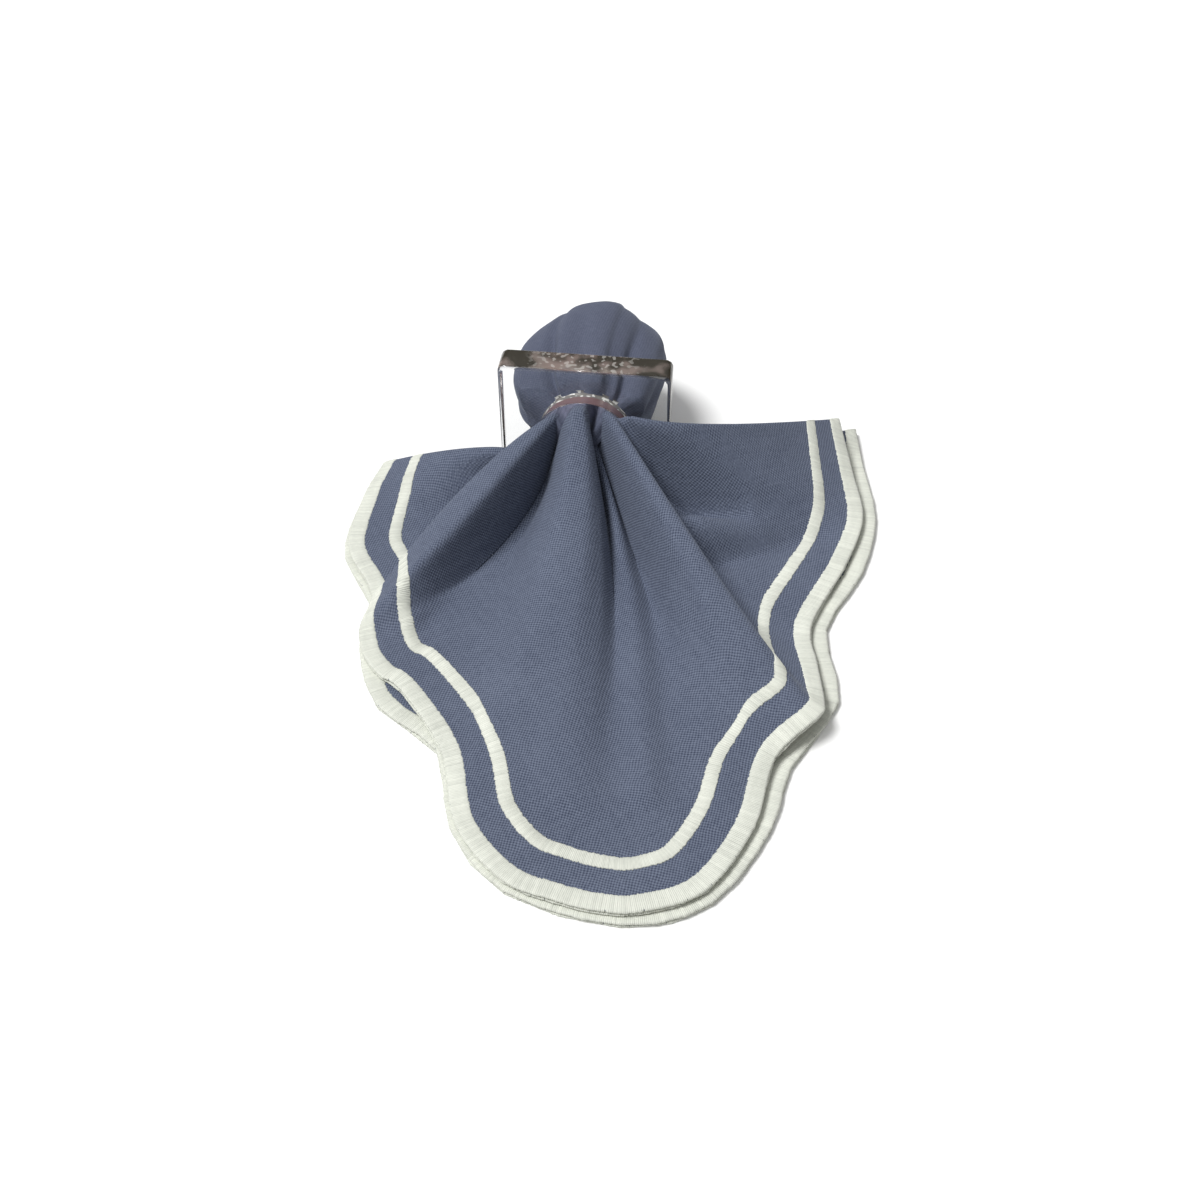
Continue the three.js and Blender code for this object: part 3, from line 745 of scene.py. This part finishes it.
# The bulb's cotton is the same weave in darker colours, which is painted shade for the bulb lying behind
# the ring. Its weave is also weaker.
painted_shade_cotton = woven_material("painted_shade_cotton", linear(98, 103, 121), linear(58, 63, 80), 0.2)
bulb = add_mesh("napkin_bulb", bulb_points, bulb_faces, painted_shade_cotton)
add_attribute(bulb, "weave", weave_place(bulb_points))
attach(bulb, "root")
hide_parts("napkin")

# Clear ring
# The ring is a clear cast acrylic block, 58.6 x 56 mm and 11 mm thick, with a round hole and slightly
# rounded edges. Its wide faces are polished flat; its narrow sides and the hole's wall are a little wavy.
# The olive and beige patches, glints and rosy band of the narrow sides and the hole's wall, in the material
# below, are painted reflection and painted glints.
hole_radius = 16.0
hole_height = 26.5
ring_half = 28.0
ring_half_width = 29.3
ring_corner = 2.4
ring_round = 1.1
ring_front = 5.5
round_steps = 4
ring_around = 192


def rounded_block(inset, corner, angles):
    """Points of the block's outline with round corners, one for each direction from its middle."""
    half = ring_half - inset
    dx, dz = np.cos(angles), np.sin(angles)
    flat = half / np.maximum(np.abs(dx), np.abs(dz))
    ax, az = np.abs(dx), np.abs(dz)
    centre = half - corner
    along = centre * (ax + az)
    inside = np.maximum(along**2 - 2 * centre**2 + corner**2, 0)
    curved = along + np.sqrt(inside)
    in_corner = (flat * ax > centre) & (flat * az > centre)
    reach = np.where(in_corner, curved, flat)
    widened = (ring_half_width - inset) / half
    return np.stack([reach * dx * widened, reach * dz + ring_half - hole_height], -1)


ring_angles = np.linspace(0, 2 * math.pi, ring_around, endpoint=False)
quarter = np.linspace(0, math.pi / 2, round_steps + 1)
ring_loops = []
for turn in quarter:
    inset = ring_round * (1 - math.sin(turn))
    depth = ring_front - ring_round * (1 - math.cos(turn))
    ring_loops.append((rounded_block(inset, ring_corner, ring_angles), -depth))
for turn in quarter[::-1]:
    inset = ring_round * (1 - math.sin(turn))
    depth = ring_front - ring_round * (1 - math.cos(turn))
    ring_loops.append((rounded_block(inset, ring_corner, ring_angles), depth))
circle = np.stack([np.cos(ring_angles), np.sin(ring_angles)], -1)
for turn in quarter:
    inset = ring_round * (1 - math.sin(turn))
    depth = ring_front - ring_round * (1 - math.cos(turn))
    ring_loops.append((circle * (hole_radius + inset), depth))
for turn in quarter[::-1]:
    inset = ring_round * (1 - math.sin(turn))
    depth = ring_front - ring_round * (1 - math.cos(turn))
    ring_loops.append((circle * (hole_radius + inset), -depth))
ring_rows = []
for xz, y in ring_loops:
    ring_rows.append(np.stack([xz[:, 0], np.full(ring_around, y), xz[:, 1] + hole_height], -1))
ring_points = np.concatenate(ring_rows)
ring_faces = quad_grid(len(ring_loops), ring_around, 0, closed_rows=True)

clear, clear_tree, clear_shader = new_material("clear_acrylic")
clear_shader.inputs["Transmission Weight"].default_value = 1.0
clear_shader.inputs["IOR"].default_value = 1.49
face = node(clear_tree, "ShaderNodeNewGeometry").outputs
facing = node(clear_tree, "ShaderNodeSeparateXYZ", i0=face["True Normal"])
narrow = math_node(clear_tree, "SUBTRACT", 1.0, math_node(clear_tree, "ABSOLUTE", facing.outputs[1]))
ring_place = node(clear_tree, "ShaderNodeTexCoord").outputs["Object"]
where = node(clear_tree, "ShaderNodeSeparateXYZ", i0=ring_place)
sideways = math_node(clear_tree, "POWER", where.outputs[0], 2.0)
upward = math_node(clear_tree, "SUBTRACT", where.outputs[2], hole_height * millimetre)
upward = math_node(clear_tree, "POWER", upward, 2.0)
from_hole = math_node(clear_tree, "SQRT", math_node(clear_tree, "ADD", sideways, upward))
inner_wall = math_node(clear_tree, "LESS_THAN", from_hole, (hole_radius + 1.4) * millimetre)
off_middle = math_node(clear_tree, "ABSOLUTE", where.outputs[0])
middle = node(clear_tree, "ShaderNodeMapRange", i0=off_middle, i1=0.021, i2=0.012).outputs[0]
# Olive-black and beige patches tint the narrow sides. They are painted reflection of the dim surroundings
# seen in the bar, not a colour of the acrylic. The wide faces stay clear.
painted_patch_mask = node(clear_tree, "ShaderNodeTexNoise", Vector=ring_place, Scale=110.0, Detail=2.0).outputs["Fac"]
painted_patch_mask = math_node(clear_tree, "MULTIPLY_ADD", middle, 0.07, painted_patch_mask)
painted_patch_mask = node(clear_tree, "ShaderNodeMapRange", i0=painted_patch_mask, i1=0.50, i2=0.66).outputs[0]
tint_with_painted_reflection = mixed_colour(clear_tree, painted_patch_mask, (0.010, 0.009, 0.0065, 1), (0.34, 0.30, 0.27, 1))
seen_from_air = math_node(clear_tree, "SUBTRACT", 1.0, face["Backfacing"])
seen_in_hole = math_node(clear_tree, "MULTIPLY", inner_wall, seen_from_air)
tint_with_painted_reflection = mixed_colour(clear_tree, inner_wall, tint_with_painted_reflection, (0.95, 0.93, 0.92, 1))
# The hole's wall facing the front is tinted rosy, which is painted reflection.
tint_with_painted_reflection = mixed_colour(clear_tree, seen_in_hole, tint_with_painted_reflection, (0.46, 0.34, 0.34, 1))
tint_with_painted_reflection = mixed_colour(clear_tree, narrow, (0.985, 0.99, 0.985, 1), tint_with_painted_reflection)
clear_tree.links.new(tint_with_painted_reflection, clear_shader.inputs["Base Color"])
haze = node(clear_tree, "ShaderNodeTexNoise", Scale=60.0, Detail=3.0).outputs["Fac"]
haze = math_node(clear_tree, "MULTIPLY", math_node(clear_tree, "MULTIPLY", haze, narrow), 0.05)
clear_tree.links.new(haze, clear_shader.inputs["Roughness"])
swell = node(clear_tree, "ShaderNodeTexNoise", Vector=ring_place, Scale=120.0, Detail=1.0).outputs["Fac"]
cuts = node(clear_tree, "ShaderNodeTexNoise", Vector=ring_place, Scale=650.0, Detail=1.0).outputs["Fac"]
near_rim = math_node(clear_tree, "ABSOLUTE", where.outputs[1])
near_rim = math_node(clear_tree, "GREATER_THAN", near_rim, 0.0044)
rim_of_hole = math_node(clear_tree, "MULTIPLY", near_rim, seen_in_hole)
outer_middle = math_node(clear_tree, "MULTIPLY", middle, math_node(clear_tree, "SUBTRACT", 1.0, inner_wall))
sparkling = math_node(clear_tree, "MAXIMUM", outer_middle, rim_of_hole)
sparkling = math_node(clear_tree, "MULTIPLY", cuts, sparkling)
swell = math_node(clear_tree, "MULTIPLY", swell, math_node(clear_tree, "SUBTRACT", 1.0, inner_wall))
ripple = math_node(clear_tree, "MULTIPLY_ADD", sparkling, 0.4, swell)
on_side = math_node(clear_tree, "ABSOLUTE", facing.outputs[0])
not_side = math_node(clear_tree, "SUBTRACT", 1.0, on_side)
not_side = math_node(clear_tree, "MAXIMUM", not_side, inner_wall)
ripple = math_node(clear_tree, "MULTIPLY", math_node(clear_tree, "MULTIPLY", ripple, narrow), not_side)
clear_bump = node(clear_tree, "ShaderNodeBump", Strength=0.5, Distance=0.0008, Height=ripple)
clear_tree.links.new(clear_bump.outputs[0], clear_shader.inputs["Normal"])
light_through = node(clear_tree, "ShaderNodeBsdfTransparent", i0=(0.965, 0.965, 0.96, 1)).outputs[0]
shadow_ray = node(clear_tree, "ShaderNodeLightPath").outputs["Is Shadow Ray"]
clear_mix = node(
    clear_tree, "ShaderNodeMixShader", i0=shadow_ray, i1=clear_shader.outputs[0], i2=light_through
)
# Painted reflection and painted glints on the narrow sides and the hole's wall: olive and beige patches,
# white glints and a rosy band, in a partly opaque shader mixed over the glass.
outer_narrow = math_node(clear_tree, "MULTIPLY", narrow, math_node(clear_tree, "SUBTRACT", 1.0, inner_wall))
wall_from_inside = math_node(clear_tree, "MULTIPLY", inner_wall, face["Backfacing"])
painted_glint_mask = node(clear_tree, "ShaderNodeTexNoise", Vector=ring_place, Scale=620.0, Detail=0.0).outputs["Fac"]
painted_glint_mask = math_node(clear_tree, "GREATER_THAN", painted_glint_mask, 0.62)
far_rim = math_node(clear_tree, "GREATER_THAN", where.outputs[1], 0.0026)
painted_bar_glints = math_node(clear_tree, "MULTIPLY", math_node(clear_tree, "MULTIPLY", painted_glint_mask, middle), 0.42)
painted_reflection_colour = mixed_colour(clear_tree, painted_patch_mask, (0.045, 0.038, 0.025, 1), (0.27, 0.215, 0.19, 1))
painted_reflection_colour = mixed_colour(clear_tree, painted_bar_glints, painted_reflection_colour, (0.80, 0.78, 0.74, 1))
painted_rosy_band = mixed_colour(clear_tree, far_rim, (0.20, 0.115, 0.115, 1), (0.22, 0.21, 0.19, 1))
painted_rim_glints = math_node(clear_tree, "MULTIPLY", painted_glint_mask, far_rim)
painted_rosy_band = mixed_colour(clear_tree, painted_rim_glints, painted_rosy_band, (0.9, 0.9, 0.86, 1))
painted_reflection_colour = mixed_colour(clear_tree, wall_from_inside, painted_reflection_colour, painted_rosy_band)
painted_reflection_bsdf = node(clear_tree, "ShaderNodeBsdfPrincipled")
clear_tree.links.new(painted_reflection_colour, painted_reflection_bsdf.inputs["Base Color"])
painted_reflection_bsdf.inputs["Roughness"].default_value = 0.25
# This is the share of the painted reflection mixed over the glass, left out of shadow rays.
share = math_node(clear_tree, "MULTIPLY", outer_narrow, 0.62)
share = math_node(clear_tree, "MAXIMUM", share, math_node(clear_tree, "MULTIPLY", wall_from_inside, 0.8))
share = math_node(clear_tree, "MULTIPLY", share, math_node(clear_tree, "SUBTRACT", 1.0, shadow_ray))
clear_mix = node(
    clear_tree, "ShaderNodeMixShader", i0=share, i1=clear_mix.outputs[0], i2=painted_reflection_bsdf.outputs[0]
)
clear_tree.links.new(clear_mix.outputs[0], clear_tree.nodes["Material Output"].inputs["Surface"])
ring = add_mesh("clear_ring", ring_points, ring_faces, clear)
for face_of_ring in ring.data.polygons:
    face_of_ring.use_smooth = abs(face_of_ring.normal.y) < 0.99
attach(ring, "root")
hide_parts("ring")

# Table, light and camera
# A plain pale tabletop, soft light from above and the left, and the camera at the photograph's angle.
table_mesh = bpy.data.meshes.new("table")
table_mesh.from_pydata([(-3, -3, 0), (3, -3, 0), (3, 3, 0), (-3, 3, 0)], [], [(0, 1, 2, 3)])
table = bpy.data.objects.new("table", table_mesh)
scene.collection.objects.link(table)
pale, pale_tree, pale_shader = new_material("pale_table")
pale_shader.inputs["Base Color"].default_value = (0.93, 0.93, 0.925, 1)
pale_shader.inputs["Roughness"].default_value = 0.8
table_mesh.materials.append(pale)

world = bpy.data.worlds.new("studio")
world.use_nodes = True
sky = world.node_tree
sky_light = sky.nodes["Background"]
looking = node(sky, "ShaderNodeSeparateXYZ", i0=node(sky, "ShaderNodeTexCoord").outputs["Generated"])
height = node(sky, "ShaderNodeMapRange", i0=looking.outputs[2], i1=0.15, i2=0.75).outputs[0]
studio = mixed_colour(sky, height, (0.10, 0.10, 0.085, 1), (1.0, 1.0, 1.0, 1))
seen = node(sky, "ShaderNodeLightPath").outputs["Is Camera Ray"]
sky.links.new(mixed_colour(sky, seen, studio, (0.9, 0.9, 0.9, 1)), sky_light.inputs[0])
sky_light.inputs[1].default_value = 0.55
scene.world = world

sun = bpy.data.lights.new("soft_sun", "SUN")
sun.energy = 3.0
sun.angle = math.radians(20)
sun_holder = bpy.data.objects.new("soft_sun", sun)
sun_holder.rotation_euler = (math.radians(10), math.radians(-27), 0)
scene.collection.objects.link(sun_holder)
scene.view_settings.view_transform = "Standard"

camera_data = bpy.data.cameras.new("camera")
camera_data.lens = 43.5
camera_data.sensor_width = 36
camera = bpy.data.objects.new("camera", camera_data)
camera.location = (0.0522, -0.4027, 0.334)
camera.rotation_euler = (math.radians(46.3), 0, math.radians(6.7))
scene.collection.objects.link(camera)
scene.camera = camera
